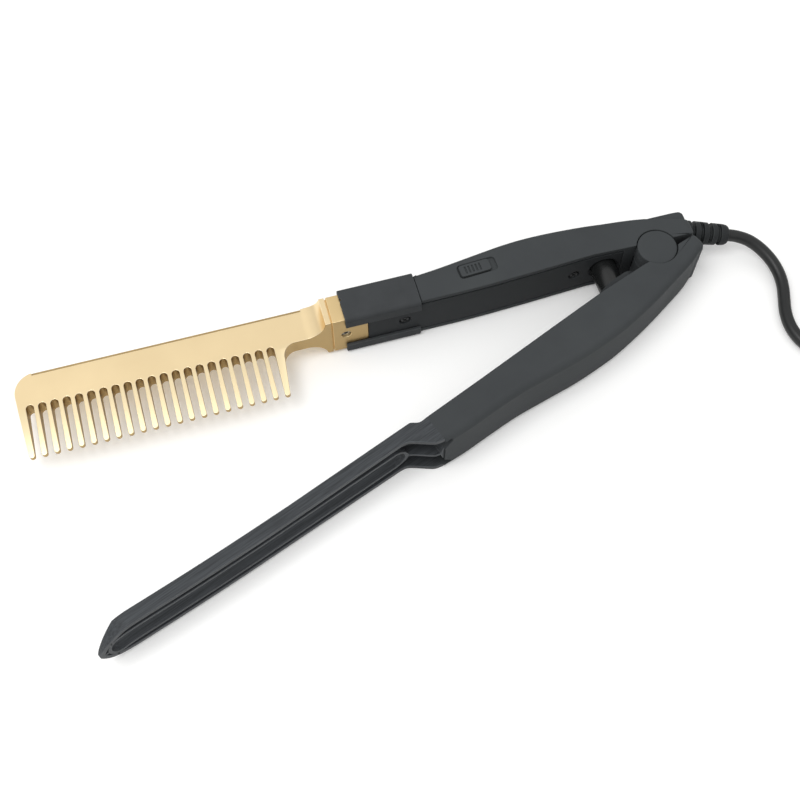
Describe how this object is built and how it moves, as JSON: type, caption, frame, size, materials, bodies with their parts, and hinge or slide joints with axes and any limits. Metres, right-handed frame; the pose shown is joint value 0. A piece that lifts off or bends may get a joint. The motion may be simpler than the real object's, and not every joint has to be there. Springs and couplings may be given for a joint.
{
  "type": "hot comb",
  "caption": "Electric hot comb with a heated toothed blade, a hinged sprung press arm with a slotted jaw, a slide switch in the handle and a coiled mains lead.",
  "frame": {"origin": "on the hinge axis, in the plane that the tool lies on", "axes": "+Z along the hinge axis, away from the surface; -X along the comb to its free end; the press arm opens towards -Y; the mains lead leaves towards +X"},
  "size_m": [0.4109, 0.1729, 0.0232],
  "materials": {
    "gold_metal": "satin gold coating",
    "screw_steel": "machined",
    "ceramic": "unglazed ceramic",
    "fuse_body": "plain",
    "guard_plastic": "satin heat-proof moulding",
    "black_plastic": "satin moulding",
    "black_screw": "blackened",
    "switch_plastic": "plain moulding",
    "board": "lacquered laminate",
    "lead_insulation": "silicone sleeve",
    "sleeve_plastic": "smooth moulding",
    "spring_steel": "drawn wire",
    "jaw_plastic": "satin heat-proof moulding",
    "boot_rubber": "matte",
    "cord_rubber": "matte",
    "tie_plastic": "matte band",
    "pin_brass": "plated"
  },
  "bodies": {
    "comb_arm": {"comb": "gold_metal", "heater_block": "gold_metal", "set_screw": "screw_steel", "heater_rod": "ceramic", "thermal_fuse": "fuse_body", "heat_guard": "guard_plastic", "comb_arm_shell": "black_plastic", "comb_arm_cover": "black_plastic", "comb_cover_screws": "black_screw", "switch_body": "switch_plastic", "circuit_board": "board", "heater_leads": "lead_insulation", "supply_leads": "lead_insulation", "hinge_pin": "screw_steel", "hinge_cap_top": "black_plastic", "hinge_cap_bottom": "black_plastic", "spring_sleeve": "sleeve_plastic", "return_spring": "spring_steel", "strain_relief": "boot_rubber", "mains_cord": "cord_rubber", "cord_coil": "cord_rubber", "coil_tie": "tie_plastic", "plug_body": "cord_rubber", "plug_pins": "pin_brass"},
    "press_arm": {"press_arm_shell": "black_plastic", "press_arm_cover": "black_plastic", "press_cover_screws": "black_screw", "press_jaw": "jaw_plastic", "jaw_screws": "screw_steel"},
    "slide_knob": {"switch_knob": "black_plastic"}
  },
  "joints": [
    {"name": "press_hinge", "type": "hinge", "parent": "comb_arm", "child": "press_arm", "pos_m": [0, 0, 0.0116], "axis": [0, 0, -1], "range_deg": [0, 21.5], "stiffness_Nm_per_rad": 0.6, "springref_deg": -14.32},
    {"name": "switch_slide", "type": "slide", "parent": "comb_arm", "child": "slide_knob", "axis": [0.9986, 0.0523, 0], "range_m": [0, 0.002]}
  ]
}
